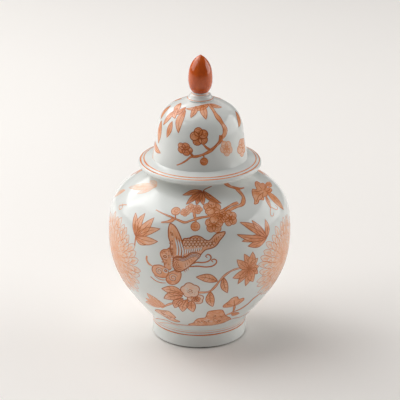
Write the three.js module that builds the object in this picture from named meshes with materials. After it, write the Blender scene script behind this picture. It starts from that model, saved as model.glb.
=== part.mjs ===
// Lidded ginger jar in glazed porcelain, 254 mm tall, turned about +Z.
// Origin: centre of the foot, on the surface that the jar stands on. Millimetres.
// Each mesh is one luted piece of clay; the lid lifts off and turns in the neck.
import * as THREE from 'three';

// ---------------------------------------------------------------- driving sizes
const FOOT_RADIUS = 41.2;
const FOOT_INNER_RADIUS = 33.2;
const FOOT_HEIGHT = 10;
const FLOOR_TOP = 16;

const WAIST_TOP = 22.5;
const WAIST_TOP_RADIUS = 45.8;
const BELLY_RADIUS = 78.9;
const BELLY_HEIGHT = 95;
const BODY_WALL = 5.5;

const SHOULDER_TOP = 149.2;
const SHOULDER_TOP_RADIUS = 43.5;
const NECK_RADIUS = 40.4;
const NECK_INNER_RADIUS = 35.5;
const NECK_TOP = 156.7;

const BRIM_RADIUS = 52.8;
const BRIM_TOP = 163.8;
const LOCATING_RING_RADIUS = 34.6;
const LOCATING_RING_INNER_RADIUS = 31;
const LOCATING_RING_DEPTH = 10;

const DOME_ROOT_RADIUS = 41.3;
const DOME_SPRING_RADIUS = 37.4;
const DOME_SPRING_HEIGHT = 187;
const DOME_TOP = 214.8;
const DOME_WALL = 5;

const COLLAR_RADIUS = 11.8;
const COLLAR_TOP_RADIUS = 7.4;
const COLLAR_TOP = 221.5;
const BUD_BASE_RADIUS = 7.1;
const BUD_RADIUS = 10.5;
const BUD_WIDEST_HEIGHT = 232.5;
const TOTAL_HEIGHT = 254;

// Short steps in the walls
const FOOT_COLLAR = 2; // upright wall above the foot ring, before the bowl flares
const INNER_CORNER = 6; // slope from the wall's inner face down to the floor
const FLOOR_CLEARANCE = 2; // the wall's inner face starts this far above the floor
const NECK_SWEEP = 4; // height of the curve from the shoulder into the neck
const MOUTH_DEPTH = 3; // the opening's edge under the neck
const BRIM_EDGE_TUCK = 2.2; // how far the brim's edge turns in below
const BRIM_EDGE_TOP = [51.1, 161.2];
const BRIM_SLOPE = [48.2, 162.3]; // where the brim's upper face flattens
const CROWN_CLEARANCE = 1; // the dome's inner face starts this far above the brim

// Bezier control points that pull the turned curves into shape: [radius, height]
const WAIST_PULL = [41.5, 17];
const BOWL_PULL = [[66.7, 48.6], [BELLY_RADIUS, 63.3]];
const SHOULDER_PULL = [[BELLY_RADIUS, 128.3], [72.6, 132.3]];
const NECK_PULL = [NECK_RADIUS, 150.8];
const BRIM_EDGE_PULL = [[53.5, 156.9], [53.5, 160.7]];
const DOME_SIDE_PULL = [38.9, 172.8];
const CROWN_PULL = [[35.4, 203.9], [28.4, 208.7]];
const COLLAR_PULL = [[9.2, 217], [COLLAR_TOP_RADIUS, 218.2]];
const BUD_BASE_PULL = [[8.8, 223.2], [BUD_RADIUS, 227.4]];
const BUD_TIP_PULL = [[BUD_RADIUS, 242.2], [7.4, 249.6]];

const EDGE = 0.8; // softened rim on turned edges
const LARGE_SEGMENTS = 48;
const SMALL_SEGMENTS = 32;

// ---------------------------------------------------------------- materials
const glaze = { color: 0xe9ecea, roughness: 0.12, metalness: 0 };
const bareClay = { color: 0xdcd6cb, roughness: 0.6, metalness: 0 };
const ironRed = { color: 0xb5562a, roughness: 0.18, metalness: 0 };

// ---------------------------------------------------------------- turning tools
function point(radius, height) {
  return new THREE.Vector2(radius, height);
}

function cubic(start, [first, second], end, divisions) {
  const curve = new THREE.CubicBezierCurve(start, point(...first), point(...second), end);
  return curve.getPoints(divisions);
}

function bend(start, pull, end, divisions) {
  return new THREE.QuadraticBezierCurve(start, point(...pull), end).getPoints(divisions);
}

// A wall's inner face: every point of the outer face moved square to it.
function inset(outline, wall) {
  return outline.map((here, i) => {
    const before = outline[Math.max(i - 1, 0)];
    const after = outline[Math.min(i + 1, outline.length - 1)];
    const along = after.clone().sub(before).normalize();
    return point(here.x - along.y * wall, here.y + along.x * wall);
  });
}

// Spins a half section about +Z. The section runs anticlockwise: up its outer side.
function turned(name, section, finish, segments) {
  const geometry = new THREE.LatheGeometry(section, segments);
  geometry.rotateX(Math.PI / 2);
  const mesh = new THREE.Mesh(geometry, new THREE.MeshStandardMaterial(finish));
  mesh.name = name;
  return mesh;
}

function closedRing(section) {
  return [...section, section[0].clone()];
}

// ---------------------------------------------------------------- jar
function footRing() {
  const section = closedRing([
    point(FOOT_INNER_RADIUS, FOOT_HEIGHT),
    point(FOOT_INNER_RADIUS + EDGE, EDGE),
    point(FOOT_INNER_RADIUS + 2 * EDGE, 0),
    point(FOOT_RADIUS - EDGE, 0),
    point(FOOT_RADIUS, EDGE),
    point(FOOT_RADIUS, FOOT_HEIGHT),
  ]);
  return turned('foot_ring', section, glaze, LARGE_SEGMENTS);
}

function bodyLower() {
  const waist = bend(
    point(FOOT_RADIUS, FOOT_HEIGHT + FOOT_COLLAR),
    WAIST_PULL,
    point(WAIST_TOP_RADIUS, WAIST_TOP),
    2,
  );
  const bowl = cubic(
    point(WAIST_TOP_RADIUS, WAIST_TOP),
    BOWL_PULL,
    point(BELLY_RADIUS, BELLY_HEIGHT),
    9,
  );
  const inside = inset(bowl, BODY_WALL).filter((p) => p.y > FLOOR_TOP + FLOOR_CLEARANCE);
  inside[inside.length - 1].y = BELLY_HEIGHT;
  const section = [
    point(0, FOOT_HEIGHT),
    point(FOOT_RADIUS, FOOT_HEIGHT),
    ...waist,
    ...bowl.slice(1),
    ...inside.slice().reverse(),
    point(inside[0].x - INNER_CORNER, FLOOR_TOP),
    point(0, FLOOR_TOP),
  ];
  return turned('body_lower', section, glaze, LARGE_SEGMENTS);
}

function bodyUpper() {
  const shoulder = cubic(
    point(BELLY_RADIUS, BELLY_HEIGHT),
    SHOULDER_PULL,
    point(SHOULDER_TOP_RADIUS, SHOULDER_TOP),
    9,
  );
  const inside = inset(shoulder, BODY_WALL);
  inside[0].y = BELLY_HEIGHT;
  const section = closedRing([
    ...shoulder,
    point(NECK_INNER_RADIUS, SHOULDER_TOP),
    point(NECK_INNER_RADIUS, SHOULDER_TOP - MOUTH_DEPTH),
    ...inside.reverse(),
  ]);
  return turned('body_upper', section, glaze, LARGE_SEGMENTS);
}

function neck() {
  const outside = bend(
    point(SHOULDER_TOP_RADIUS, SHOULDER_TOP),
    NECK_PULL,
    point(NECK_RADIUS, SHOULDER_TOP + NECK_SWEEP),
    3,
  );
  const section = closedRing([
    ...outside,
    point(NECK_RADIUS, NECK_TOP - EDGE),
    point(NECK_RADIUS - EDGE, NECK_TOP),
    point(NECK_INNER_RADIUS + EDGE, NECK_TOP),
    point(NECK_INNER_RADIUS, NECK_TOP - EDGE),
    point(NECK_INNER_RADIUS, SHOULDER_TOP),
  ]);
  return turned('neck', section, glaze, LARGE_SEGMENTS);
}

// ---------------------------------------------------------------- lid
function locatingRing() {
  const bottom = NECK_TOP - LOCATING_RING_DEPTH;
  const section = closedRing([
    point(LOCATING_RING_INNER_RADIUS, NECK_TOP),
    point(LOCATING_RING_INNER_RADIUS, bottom + EDGE),
    point(LOCATING_RING_INNER_RADIUS + EDGE, bottom),
    point(LOCATING_RING_RADIUS - EDGE, bottom),
    point(LOCATING_RING_RADIUS, bottom + EDGE),
    point(LOCATING_RING_RADIUS, NECK_TOP),
  ]);
  return turned('lid_locating_ring', section, bareClay, LARGE_SEGMENTS);
}

function brim() {
  const edge = cubic(
    point(BRIM_RADIUS - BRIM_EDGE_TUCK, NECK_TOP),
    BRIM_EDGE_PULL,
    point(...BRIM_EDGE_TOP),
    5,
  );
  const section = closedRing([
    point(LOCATING_RING_INNER_RADIUS, NECK_TOP),
    ...edge,
    point(...BRIM_SLOPE),
    point(DOME_ROOT_RADIUS, BRIM_TOP),
    point(DOME_ROOT_RADIUS - DOME_WALL, BRIM_TOP),
  ]);
  return turned('lid_brim', section, glaze, LARGE_SEGMENTS);
}

function dome() {
  const side = bend(
    point(DOME_ROOT_RADIUS, BRIM_TOP),
    DOME_SIDE_PULL,
    point(DOME_SPRING_RADIUS, DOME_SPRING_HEIGHT),
    3,
  );
  const crown = cubic(
    point(DOME_SPRING_RADIUS, DOME_SPRING_HEIGHT),
    CROWN_PULL,
    point(COLLAR_RADIUS, DOME_TOP),
    9,
  );
  const outside = [...side, ...crown.slice(1)];
  const inside = inset(outside, DOME_WALL).filter((p) => p.y > BRIM_TOP + CROWN_CLEARANCE);
  const section = [
    point(0, inside[inside.length - 1].y),
    ...inside.slice().reverse(),
    point(DOME_ROOT_RADIUS - DOME_WALL, BRIM_TOP),
    ...outside,
    point(0, DOME_TOP),
  ];
  return turned('lid_dome', section, glaze, LARGE_SEGMENTS);
}

function finialCollar() {
  const skirt = cubic(
    point(COLLAR_RADIUS, DOME_TOP + EDGE),
    COLLAR_PULL,
    point(COLLAR_TOP_RADIUS, COLLAR_TOP),
    5,
  );
  const section = [
    point(0, DOME_TOP),
    point(COLLAR_RADIUS, DOME_TOP),
    ...skirt,
    point(0, COLLAR_TOP),
  ];
  return turned('finial_collar', section, glaze, SMALL_SEGMENTS);
}

function finialBud() {
  const base = cubic(
    point(BUD_BASE_RADIUS, COLLAR_TOP),
    BUD_BASE_PULL,
    point(BUD_RADIUS, BUD_WIDEST_HEIGHT),
    5,
  );
  const tip = cubic(
    point(BUD_RADIUS, BUD_WIDEST_HEIGHT),
    BUD_TIP_PULL,
    point(0, TOTAL_HEIGHT),
    8,
  );
  const section = [point(0, COLLAR_TOP), ...base, ...tip.slice(1)];
  return turned('finial_bud', section, ironRed, SMALL_SEGMENTS);
}

// ---------------------------------------------------------------- assembly
const jar = new THREE.Group();
jar.add(footRing(), bodyLower(), bodyUpper(), neck());

const lid = new THREE.Group();
lid.add(locatingRing(), brim(), dome(), finialCollar(), finialBud());

const gingerJar = new THREE.Group();
gingerJar.add(jar, lid);

export default gingerJar;
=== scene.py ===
import math
import random

import bpy
import numpy as np
from mathutils import Matrix, Vector
from mathutils.geometry import delaunay_2d_cdt

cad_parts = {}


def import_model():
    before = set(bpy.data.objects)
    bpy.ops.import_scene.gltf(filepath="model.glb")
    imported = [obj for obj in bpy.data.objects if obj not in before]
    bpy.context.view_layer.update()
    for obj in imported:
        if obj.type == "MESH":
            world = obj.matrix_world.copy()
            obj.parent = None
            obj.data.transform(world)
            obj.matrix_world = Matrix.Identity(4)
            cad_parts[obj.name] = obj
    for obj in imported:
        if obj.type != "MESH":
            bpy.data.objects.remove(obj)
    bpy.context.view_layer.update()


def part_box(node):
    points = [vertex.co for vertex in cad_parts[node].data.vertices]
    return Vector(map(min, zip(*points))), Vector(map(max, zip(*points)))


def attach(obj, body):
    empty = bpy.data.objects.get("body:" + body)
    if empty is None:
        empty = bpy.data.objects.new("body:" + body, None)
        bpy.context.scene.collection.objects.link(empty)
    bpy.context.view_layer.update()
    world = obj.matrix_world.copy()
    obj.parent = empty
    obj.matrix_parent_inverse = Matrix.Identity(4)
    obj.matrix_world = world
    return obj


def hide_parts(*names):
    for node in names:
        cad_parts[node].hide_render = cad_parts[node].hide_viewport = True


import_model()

MM = 0.001
ROUND = 224            # faces round a turned piece
ENAMEL = 0.2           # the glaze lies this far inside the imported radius, so enamel can stand on it


def top_mm(node):
    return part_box(node)[1][2] / MM


def radius_mm(node):
    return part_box(node)[1][0] / MM


# ------------------------------------------------------------------ sizes from the frame
FOOT_R = radius_mm("foot_ring") - ENAMEL
FOOT_TOP = top_mm("foot_ring")
BELLY_R = radius_mm("body_lower") - ENAMEL
BELLY_Z = top_mm("body_lower")
SHOULDER_TOP = top_mm("body_upper")
NECK_TOP = top_mm("neck")
BRIM_R = radius_mm("lid_brim") - ENAMEL
BRIM_TOP = top_mm("lid_brim")
RING_R = radius_mm("lid_locating_ring")
RING_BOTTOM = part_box("lid_locating_ring")[0][2] / MM
DOME_ROOT_R = radius_mm("lid_dome") - ENAMEL
DOME_TOP = top_mm("lid_dome")
COLLAR_R = radius_mm("finial_collar") - ENAMEL
COLLAR_TOP = top_mm("finial_collar")
BUD_R = radius_mm("finial_bud")
BUD_TOP = top_mm("finial_bud")


# ------------------------------------------------------------------ outlines
def cubic(a, b, c, d, steps):
    t = np.linspace(0, 1, steps + 1)[:, None]
    a, b, c, d = map(np.array, (a, b, c, d))
    return (1 - t) ** 3 * a + 3 * (1 - t) ** 2 * t * b + 3 * (1 - t) * t * t * c + t ** 3 * d


def bend(a, corner, b, steps):
    t = np.linspace(0, 1, steps + 1)[:, None]
    a, corner, b = map(np.array, (a, corner, b))
    return (1 - t) ** 2 * a + 2 * (1 - t) * t * corner + t * t * b


def join(*runs):
    points = [np.array(runs[0], float)]
    for run in runs[1:]:
        run = np.array(run, float)
        if np.linalg.norm(run[0] - points[-1][-1]) < 1e-6:
            run = run[1:]
        points.append(run)
    return np.vstack(points)


def pairs(first, second):
    return np.stack([first, second], 1)


def normals(line):
    """Unit vectors to the left of a line, at each of its points."""
    way = np.gradient(line, axis=0)
    way /= np.maximum(np.linalg.norm(way, axis=1), 1e-9)[:, None]
    return pairs(-way[:, 1], way[:, 0])


def inset(outline, wall):
    return outline + normals(outline) * wall


# Sizes of details that the frame doesn't name, in mm, and points as (radius, height).
BOWL_START = (45.8 - ENAMEL, 22.5)
NECK_R = 40.2
MOUTH_R = 35.5
JAR_WALL = 5.5
JAR_FLOOR = 16
FOOT_BORE = 33.2
RING_BORE = 31
LID_WALL = 5
DOME_KNEE = (37.2, 187)
BRIM_CHIN = (BRIM_R - 2.4, NECK_TOP - 0.9)
BRIM_LIP = (BRIM_R - 1.7, NECK_TOP + 3.7)
BRIM_GROOVE = (BRIM_R - 4.6, BRIM_TOP - 2.3)
SKIRT_FOLD = (9.3, DOME_TOP + 3.4)
SKIRT_STEP = (9.0, DOME_TOP + 4.1)
SKIRT_TIP = (7.2, COLLAR_TOP - 0.7)
BUD_SHOULDER = (7.3, COLLAR_TOP + 0.8)
BUD_WIDEST = (BUD_R - ENAMEL, 232.5)
BUD_TIP = (1.3, BUD_TOP - 0.8)

BELLY_BOWL = cubic(BOWL_START, (66.7, 48.6), (BELLY_R, 63.3), (BELLY_R, BELLY_Z), 60)
WAIST = join([(FOOT_R, FOOT_TOP), (FOOT_R, FOOT_TOP + 2)],
             bend((FOOT_R, FOOT_TOP + 2), (FOOT_R + 0.3, FOOT_TOP + 7), BELLY_BOWL[0], 10))
SHOULDER = cubic((BELLY_R, BELLY_Z), (BELLY_R, 128.3), (72.6, 132.3), (43.3, SHOULDER_TOP), 60)
NECK_SWEEP = bend(SHOULDER[-1], (NECK_R, SHOULDER_TOP + 1.6), (NECK_R, SHOULDER_TOP + 4), 10)
DOME_SIDE = bend((DOME_ROOT_R, BRIM_TOP), (DOME_ROOT_R - 2.4, BRIM_TOP + 9), DOME_KNEE, 20)
DOME_CROWN = cubic(DOME_KNEE, (35.2, 203.9), (28.2, 208.7), (COLLAR_R, DOME_TOP), 50)
COLLAR_SIDE = join(cubic((COLLAR_R, DOME_TOP + 0.7), (COLLAR_R - 1.2, DOME_TOP + 1.9), (9.9, DOME_TOP + 2.4),
                         SKIRT_FOLD, 10),
                   bend(SKIRT_FOLD, (9.1, DOME_TOP + 3.7), SKIRT_STEP, 3),
                   cubic(SKIRT_STEP, (8.3, DOME_TOP + 4.5), (7.2, DOME_TOP + 4.9), SKIRT_TIP, 8))
BRIM_EDGE = cubic(BRIM_CHIN, (BRIM_R + 0.7, NECK_TOP - 0.9), (BRIM_R + 0.9, NECK_TOP + 3.1), BRIM_LIP, 20)
BRIM_FACE = join(bend(BRIM_LIP, (BRIM_R - 3.1, BRIM_TOP - 3.0), BRIM_GROOVE, 6),
                 bend(BRIM_GROOVE, (DOME_ROOT_R + 2, BRIM_TOP - 0.9), (DOME_ROOT_R, BRIM_TOP), 10))


# ------------------------------------------------------------------ mesh tools
def mesh_piece(name, verts, faces, material, body, nodes=()):
    mesh = bpy.data.meshes.new(name)
    mesh.from_pydata(verts, [], faces)
    mesh.validate()
    mesh.update()
    piece = bpy.data.objects.new(name, mesh)
    bpy.context.scene.collection.objects.link(piece)
    mesh.materials.append(material)
    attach(piece, body)
    if nodes:
        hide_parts(*nodes)
    return piece


def turned(name, section, material, body, nodes, closed=True, around=ROUND):
    """A half section (radius, height) spun about +Z; points on the axis become one vertex."""
    verts = []
    rows = []
    angles = np.linspace(0, 2 * math.pi, around, endpoint=False)
    for r, z in section:
        if r < 1e-6:
            rows.append([len(verts)] * around)
            verts.append((0, 0, z * MM))
            continue
        rows.append(list(range(len(verts), len(verts) + around)))
        verts += [(r * math.sin(a) * MM, -r * math.cos(a) * MM, z * MM) for a in angles]
    pairs = list(zip(rows, rows[1:]))
    if closed:
        pairs.append((rows[-1], rows[0]))
    faces = []
    for low, high in pairs:
        for i in range(around):
            j = (i + 1) % around
            face = [low[i], low[j], high[j], high[i]]
            face = [v for k, v in enumerate(face) if v != face[k - 1]]
            if len(face) > 2:
                faces.append(face)
    mesh = mesh_piece(name, verts, faces, material, body, nodes).data
    mesh.shade_smooth()
    mesh.set_sharp_from_angle(angle=math.radians(35))


# ------------------------------------------------------------------ materials
class Recipe:
    """A material put together from procedural nodes."""

    def __init__(self, name):
        self.material = bpy.data.materials.new(name)
        self.material.use_nodes = True
        self.nodes = self.material.node_tree.nodes
        self.link = self.material.node_tree.links.new
        self.shader = self.nodes["Principled BSDF"].inputs
        self.where = self.nodes.new("ShaderNodeTexCoord").outputs["Object"]

    def feed(self, socket, value):
        """Sets a socket to a number or a colour, or links another node's output to it."""
        if isinstance(value, (int, float)):
            socket.default_value = value
        elif isinstance(value, tuple):
            socket.default_value = (*value, 1)
        else:
            self.link(value, socket)

    def noise(self, vector, scale, detail=3, roughness=0.5):
        node = self.nodes.new("ShaderNodeTexNoise")
        node.inputs["Scale"].default_value = scale
        node.inputs["Detail"].default_value = detail
        node.inputs["Roughness"].default_value = roughness
        self.link(vector, node.inputs["Vector"])
        return node.outputs["Fac"]

    def ramp(self, value, stops):
        node = self.nodes.new("ShaderNodeValToRGB")
        elements = node.color_ramp.elements
        while len(elements) < len(stops):
            elements.new(0.5)
        for element, (position, colour) in zip(elements, stops):
            element.position = position
            element.color = (*colour, 1)
        self.link(value, node.inputs["Fac"])
        return node.outputs["Color"]

    def between(self, value, low, high):
        """A colour or a grey that runs from low to high over the middle of a noise's range."""
        low, high = ((end,) * 3 if isinstance(end, float) else end for end in (low, high))
        return self.ramp(value, [(0.3, low), (0.7, high)])

    def mix(self, factor, first, second, blend="MIX"):
        node = self.nodes.new("ShaderNodeMix")
        node.data_type = "RGBA"
        node.blend_type = blend
        for key, value in ((0, factor), (6, first), (7, second)):
            self.feed(node.inputs[key], value)
        return node.outputs[2]

    def math(self, operation, first, second):
        node = self.nodes.new("ShaderNodeMath")
        node.operation = operation
        self.feed(node.inputs[0], first)
        self.feed(node.inputs[1], second)
        return node.outputs[0]

    def split(self, vector):
        node = self.nodes.new("ShaderNodeSeparateXYZ")
        self.link(vector, node.inputs["Vector"])
        return node.outputs

    def attribute(self, name):
        node = self.nodes.new("ShaderNodeAttribute")
        node.attribute_name = name
        return node.outputs

    def bump(self, height, distance, strength, normal=None):
        node = self.nodes.new("ShaderNodeBump")
        node.inputs["Distance"].default_value = distance
        node.inputs["Strength"].default_value = strength
        self.link(height, node.inputs["Height"])
        if normal:
            self.link(normal, node.inputs["Normal"])
        return node.outputs["Normal"]


BLACK = (0, 0, 0)
WHITE = (1, 1, 1)


def white_glaze(name, bare):
    """Cool white porcelain glaze: cloudy tone, a few iron specks, faint orange peel.

    bare lists (height in mm, softness in mm, 1 above or -1 below) where the clay is left unglazed.
    Low down the bare clay is painted near-black as painted contact shade where the foot meets the floor, and
    higher up it is clean biscuit.
    """
    recipe = Recipe(name)
    where = recipe.where
    cloud = recipe.between(recipe.noise(where, 22), (0.755, 0.785, 0.765), (0.81, 0.83, 0.81))
    iron = recipe.noise(where, 900, 1)
    specks = recipe.ramp(iron, [(0.0, WHITE), (0.80, WHITE), (0.86, (0.55, 0.5, 0.44))])
    glaze = recipe.mix(0.5, cloud, specks, "MULTIPLY")
    above = recipe.split(where)["Z"]
    grit = recipe.noise(where, 240, 5, 0.65)
    # painted contact shade: the bare foot edge low down is coloured near-black where the foot rests on the
    # floor
    contact_shade_clay = recipe.between(grit, (0.11, 0.09, 0.07), (0.22, 0.185, 0.14))
    biscuit = recipe.between(grit, (0.58, 0.51, 0.42), (0.72, 0.67, 0.58))
    clay = recipe.mix(recipe.math("GREATER_THAN", above, BELLY_Z * MM), contact_shade_clay, biscuit)
    ragged = recipe.math("MULTIPLY", recipe.noise(where, 120, 2), 0.6 * MM)
    height = recipe.math("ADD", above, ragged)
    mask = None
    for level, softness, way in bare:
        past = recipe.math("SUBTRACT", height, level * MM)
        past = recipe.math("MULTIPLY", past, way / (softness * MM))
        past = recipe.ramp(past, [(0.0, BLACK), (1.0, WHITE)])
        mask = past if mask is None else recipe.mix(1.0, mask, past, "ADD")
    recipe.link(recipe.mix(mask, glaze, clay), recipe.shader["Base Color"])
    gloss = recipe.between(recipe.noise(where, 60, 4), 0.10, 0.15)
    recipe.link(recipe.mix(mask, gloss, (0.8, 0.8, 0.8)), recipe.shader["Roughness"])
    peel = recipe.bump(recipe.noise(where, 260, 2), 0.00003, 0.5)
    recipe.link(recipe.bump(recipe.noise(where, 45, 2), 0.0003, 0.25, peel), recipe.shader["Normal"])
    recipe.shader["IOR"].default_value = 1.52
    return recipe.material


def iron_red_glaze():
    """Thick rust glaze of the bud: pooled dark, thin and orange where it breaks, glossy."""
    recipe = Recipe("iron_red_glaze")
    where = recipe.where
    pool = recipe.ramp(recipe.noise(where, 90, 5, 0.6), [
        (0.25, (0.47, 0.062, 0.006)), (0.55, (0.62, 0.105, 0.012)), (0.8, (0.72, 0.17, 0.03))])
    fleck = recipe.ramp(recipe.noise(where, 1400, 2), [(0.0, WHITE), (0.6, WHITE), (0.75, (0.7, 0.55, 0.45))])
    recipe.link(recipe.mix(0.6, pool, fleck, "MULTIPLY"), recipe.shader["Base Color"])
    recipe.link(recipe.between(recipe.noise(where, 120, 3), 0.10, 0.17), recipe.shader["Roughness"])
    recipe.link(recipe.bump(recipe.noise(where, 300, 3), 0.00005, 0.4), recipe.shader["Normal"])
    recipe.shader["IOR"].default_value = 1.6
    return recipe.material


def bare_clay():
    """Unglazed porcelain biscuit where pieces rest on each other."""
    recipe = Recipe("bare_clay")
    where = recipe.where
    tone = recipe.between(recipe.noise(where, 140, 6, 0.65), (0.60, 0.53, 0.43), (0.74, 0.69, 0.60))
    grit = recipe.ramp(recipe.noise(where, 1600, 2), [(0.0, (0.8, 0.74, 0.66)), (0.5, WHITE), (1.0, WHITE)])
    recipe.link(recipe.mix(0.8, tone, grit, "MULTIPLY"), recipe.shader["Base Color"])
    recipe.shader["Roughness"].default_value = 0.75
    recipe.link(recipe.bump(recipe.noise(where, 1200, 4), 0.00012, 0.6), recipe.shader["Normal"])
    return recipe.material


ENAMEL_TONES = [(0.0, (0.77, 0.78, 0.765)), (0.05, (0.84, 0.74, 0.66)), (0.28, (0.90, 0.59, 0.43)),
                (0.52, (0.88, 0.43, 0.24)), (0.76, (0.74, 0.245, 0.085)), (1.0, (0.42, 0.10, 0.025))]


def iron_red_enamel():
    """Iron-red overglaze enamel: painted tone, broken by brush streaks, thinner where the brush ran dry.

    The pieces give it their tone and, as grain, the place along and across the stroke and how brushed it is.
    """
    recipe = Recipe("iron_red_enamel")
    tone = recipe.attribute("tone")["Fac"]
    grain = recipe.attribute("grain")["Vector"]
    brushed = recipe.split(grain)["Z"]
    stretch = recipe.nodes.new("ShaderNodeMapping")
    stretch.inputs["Scale"].default_value = (0.20, 1.25, 1)
    recipe.link(grain, stretch.inputs["Vector"])
    streak = recipe.noise(stretch.outputs["Vector"], 1.0, 4, 0.6)
    pool = recipe.noise(recipe.where, 160, 3)
    uneven = recipe.math("SUBTRACT", recipe.math("ADD", streak, pool), 1.0)
    depth = recipe.math("ADD", recipe.math("MULTIPLY", brushed, 0.42), 0.16)
    colour = recipe.ramp(recipe.math("ADD", tone, recipe.math("MULTIPLY", uneven, depth)), ENAMEL_TONES)
    dry = recipe.ramp(streak, [(0.0, WHITE), (0.33, WHITE), (0.42, BLACK)])
    dry = recipe.mix(brushed, BLACK, dry)
    thin = recipe.mix(0.4, colour, (0.80, 0.72, 0.66))
    recipe.link(recipe.mix(dry, colour, thin), recipe.shader["Base Color"])
    recipe.link(recipe.between(pool, 0.13, 0.21), recipe.shader["Roughness"])
    recipe.link(recipe.bump(streak, 0.00003, 0.5), recipe.shader["Normal"])
    recipe.shader["IOR"].default_value = 1.5
    return recipe.material


JAR_GLAZE = white_glaze("white_glaze_jar", [(1.5, 0.4, -1), (NECK_TOP - 0.6, 0.4, 1)])
LID_GLAZE = white_glaze("white_glaze_lid", [(NECK_TOP - 0.2, 0.4, -1)])
RUST = iron_red_glaze()
CLAY = bare_clay()
IRON_RED = iron_red_enamel()


# ------------------------------------------------------------------ turned pieces
def foot_ring():
    section = join([(FOOT_BORE, FOOT_TOP)],
                   bend((FOOT_BORE + 0.4, 3), (FOOT_BORE + 0.8, 0.6), (FOOT_BORE + 2, 0.5), 5),
                   bend((FOOT_BORE + 2, 0.5), (FOOT_BORE + 2.4, 0), (FOOT_BORE + 3, 0), 3),
                   bend((FOOT_R - 1.7, 0), (FOOT_R - 1.1, 0), (FOOT_R - 0.9, 0.5), 4),
                   bend((FOOT_R - 0.9, 0.5), (FOOT_R, 0.8), (FOOT_R, 1.8), 6), [(FOOT_R, FOOT_TOP)])
    turned("foot_ring_glazed", section, JAR_GLAZE, "jar", ["foot_ring"])


def jar_wall():
    inner = inset(join(BELLY_BOWL, SHOULDER), JAR_WALL)
    inner = inner[inner[:, 1] > JAR_FLOOR + 3]
    lip = join([(NECK_R, NECK_TOP - 1.2)],
               bend((NECK_R, NECK_TOP - 1.2), (NECK_R, NECK_TOP), (NECK_R - 1.2, NECK_TOP), 5),
               bend((MOUTH_R + 1.1, NECK_TOP), (MOUTH_R, NECK_TOP), (MOUTH_R, NECK_TOP - 1.2), 5),
               [(MOUTH_R, SHOULDER_TOP - 3)])
    corner = bend(inner[0], (inner[0][0] - 4, JAR_FLOOR), (inner[0][0] - 10, JAR_FLOOR), 6)
    section = join([(0, FOOT_TOP)], WAIST, BELLY_BOWL, SHOULDER, NECK_SWEEP, lip, inner[::-1], corner,
                   [(0, JAR_FLOOR)])
    turned("jar_wall", section, JAR_GLAZE, "jar", ["body_lower", "body_upper", "neck"], False)


def lid_shell():
    inner = inset(join(DOME_SIDE, DOME_CROWN), LID_WALL)
    inner = inner[inner[:, 1] > BRIM_TOP + 1]
    underside = join([(RING_BORE, NECK_TOP)], bend((42, NECK_TOP), (46, NECK_TOP), BRIM_CHIN, 6))
    section = join(underside, BRIM_EDGE, BRIM_FACE, DOME_SIDE, DOME_CROWN, [(0, DOME_TOP)],
                   [(0, inner[-1][1])], inner[::-1], [(36, BRIM_TOP)])
    turned("lid_shell", section, LID_GLAZE, "lid", ["lid_brim", "lid_dome"])


def locating_ring():
    seat = NECK_TOP - 0.04      # a hair under the lid, so that the turning lid doesn't graze the ring
    low = RING_BOTTOM
    section = join([(RING_BORE, seat)], bend((RING_BORE, low + 1), (RING_BORE, low), (RING_BORE + 1, low), 4),
                   bend((RING_R - 1, low), (RING_R, low), (RING_R, low + 1), 4), [(RING_R, seat)])
    turned("lid_locating_ring_biscuit", section, CLAY, "lid_seat", ["lid_locating_ring"])


def finial():
    base = join([(0, DOME_TOP), (COLLAR_R - 0.5, DOME_TOP)],
                bend((COLLAR_R - 0.5, DOME_TOP), (COLLAR_R, DOME_TOP), COLLAR_SIDE[0], 4), COLLAR_SIDE,
                bend(SKIRT_TIP, (7.2, COLLAR_TOP), (6.5, COLLAR_TOP), 4), [(0, COLLAR_TOP)])
    turned("finial_collar_glazed", base, LID_GLAZE, "lid", ["finial_collar"], False, 96)
    widest = BUD_WIDEST[0]
    bud = join([(0, COLLAR_TOP), (6.4, COLLAR_TOP)],
               bend((6.4, COLLAR_TOP), (7.1, COLLAR_TOP), BUD_SHOULDER, 4),
               cubic(BUD_SHOULDER, (8.8, 223.6), (widest, 227.6), BUD_WIDEST, 18),
               cubic(BUD_WIDEST, (widest + 0.1, 242), (7.8, 248.8), BUD_TIP, 30),
               bend(BUD_TIP, (0.6, BUD_TOP - 0.3), (0, BUD_TOP - 0.1), 4))
    turned("finial_bud_glazed", bud, RUST, "lid", ["finial_bud"], False, 96)


foot_ring()
jar_wall()
lid_shell()
locating_ring()
finial()


# ------------------------------------------------------------------ painting tools
class Surface:
    """A turned face addressed by the angle from the front (radians) and the distance up its outline (mm)."""

    def __init__(self, outline):
        run = np.linalg.norm(np.diff(outline, axis=0), axis=1)
        self.distance = np.concatenate([[0], np.cumsum(run)])
        self.outline = outline
        along = np.gradient(outline, self.distance, axis=0)
        along /= np.linalg.norm(along, axis=1)[:, None]
        self.out = pairs(along[:, 1], -along[:, 0])

    def look_up(self, table, s):
        return np.stack([np.interp(s, self.distance, table[:, k]) for k in (0, 1)], -1)

    def radius(self, s):
        return np.interp(s, self.distance, self.outline[:, 0])

    def where_radius(self, radius):
        """The place above the widest part of the outline where it has narrowed to radius."""
        widest = self.outline[:, 0].argmax()
        return np.interp(-radius, -self.outline[widest:, 0], self.distance[widest:])

    def place(self, spots, lift):
        angle, s = spots[:, 0], spots[:, 1]
        out = self.look_up(self.out, s)
        rz = self.look_up(self.outline, s) + out * lift
        side, front = np.sin(angle), -np.cos(angle)
        points = np.stack([rz[:, 0] * side, rz[:, 0] * front, rz[:, 1]], 1) * MM
        return points, np.stack([out[:, 0] * side, out[:, 0] * front, out[:, 1]], 1)


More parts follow.
